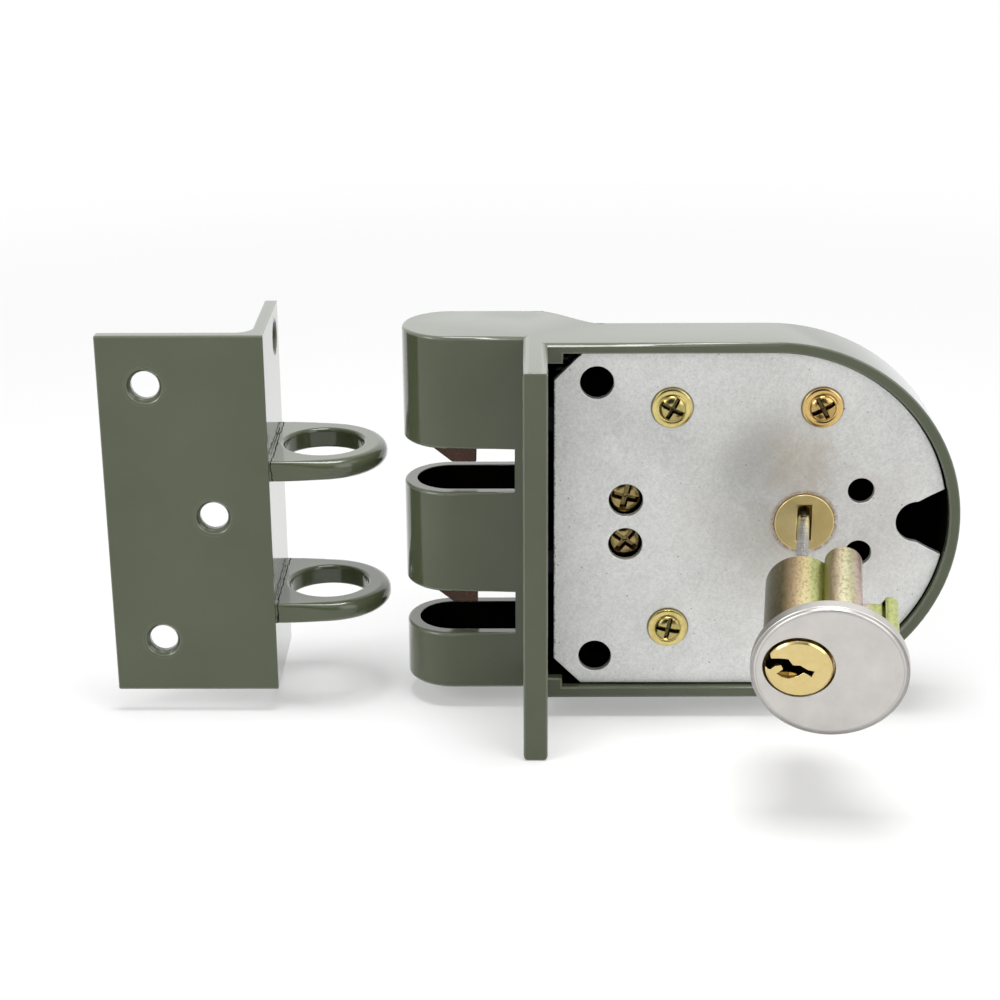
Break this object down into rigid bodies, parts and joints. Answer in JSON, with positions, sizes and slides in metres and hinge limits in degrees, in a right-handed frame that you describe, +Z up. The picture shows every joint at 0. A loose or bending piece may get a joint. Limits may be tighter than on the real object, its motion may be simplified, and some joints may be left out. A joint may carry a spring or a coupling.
{
  "type": "night latch",
  "caption": "Rim night latch with a flanged cast case, drop bolts lifted by its hub, thumbturn, rim cylinder hung by its tailpiece, and an angle strike with ring keepers.",
  "frame": {"origin": "axis of the hub, in the plane of the door's face", "axes": "+X away from the door's edge, +Y into the room, +Z up"},
  "size_m": [0.2007, 0.0958, 0.0953],
  "materials": {
    "paint": "gloss grey-green paint on castings",
    "zinc": "zinc-plated steel, fine speckle",
    "brass": "yellow-plated screws",
    "hub_brass": "turned brass",
    "shell": "yellow passivate with olive and pink casts",
    "plug_brass": "polished brass",
    "nickel": "satin nickel",
    "steel": "bare steel",
    "bronze": "dark brown bolts"
  },
  "bodies": {
    "case": {"case": "paint", "back_plate": "zinc", "plate_screws": "brass", "guide_screws": "brass", "bolt_spring": "steel"},
    "hub": {"hub": "hub_brass", "cam_arm": "steel", "thumbturn": "paint", "turn_screw": "steel"},
    "bolts": {"slide_plate": "steel", "upper_bolt": "bronze", "lower_bolt": "bronze", "bolt_screws": "steel", "spring_peg": "steel"},
    "cylinder": {"cylinder_body": "shell", "cylinder_face": "nickel", "driver_pins": "plug_brass", "pin_springs": "steel", "chamber_cap": "plug_brass"},
    "plug": {"cylinder_plug": "plug_brass", "tailpiece": "zinc", "plug_clip": "steel", "key_pins": "plug_brass"},
    "strike": {"strike_angle": "paint", "upper_ring": "paint", "lower_ring": "paint"}
  },
  "joints": [
    {"name": "hub_turn", "type": "hinge", "parent": "case", "child": "hub", "pos_m": [0, 0.01, 0], "axis": [0, 1, 0], "range_deg": [0, 40.05]},
    {"name": "bolt_slide", "type": "slide", "parent": "case", "child": "bolts", "axis": [0, 0, 1], "range_m": [0, 0.00821], "stiffness_N_per_m": 150, "springref_m": -0.004, "deforming": ["bolt_spring"]},
    {"name": "cylinder_pull", "type": "slide", "parent": "case", "child": "cylinder", "axis": [0, -1, 0], "range_m": [0, 0.02]},
    {"name": "plug_turn", "type": "hinge", "parent": "cylinder", "child": "plug", "pos_m": [0, 0.0034, 0], "axis": [0.1193, 0.9712, 0.2062], "range_deg": [0, 40.05]},
    {"name": "strike_slide", "type": "slide", "parent": "case", "child": "strike", "axis": [1, 0, 0], "range_m": [-0.02, 0.0075]}
  ],
  "couplings": [
    {"joint": "hub_turn", "follows": "bolt_slide", "rad_per_m": 85.05},
    {"joint": "plug_turn", "follows": "bolt_slide", "rad_per_m": 85.05}
  ]
}
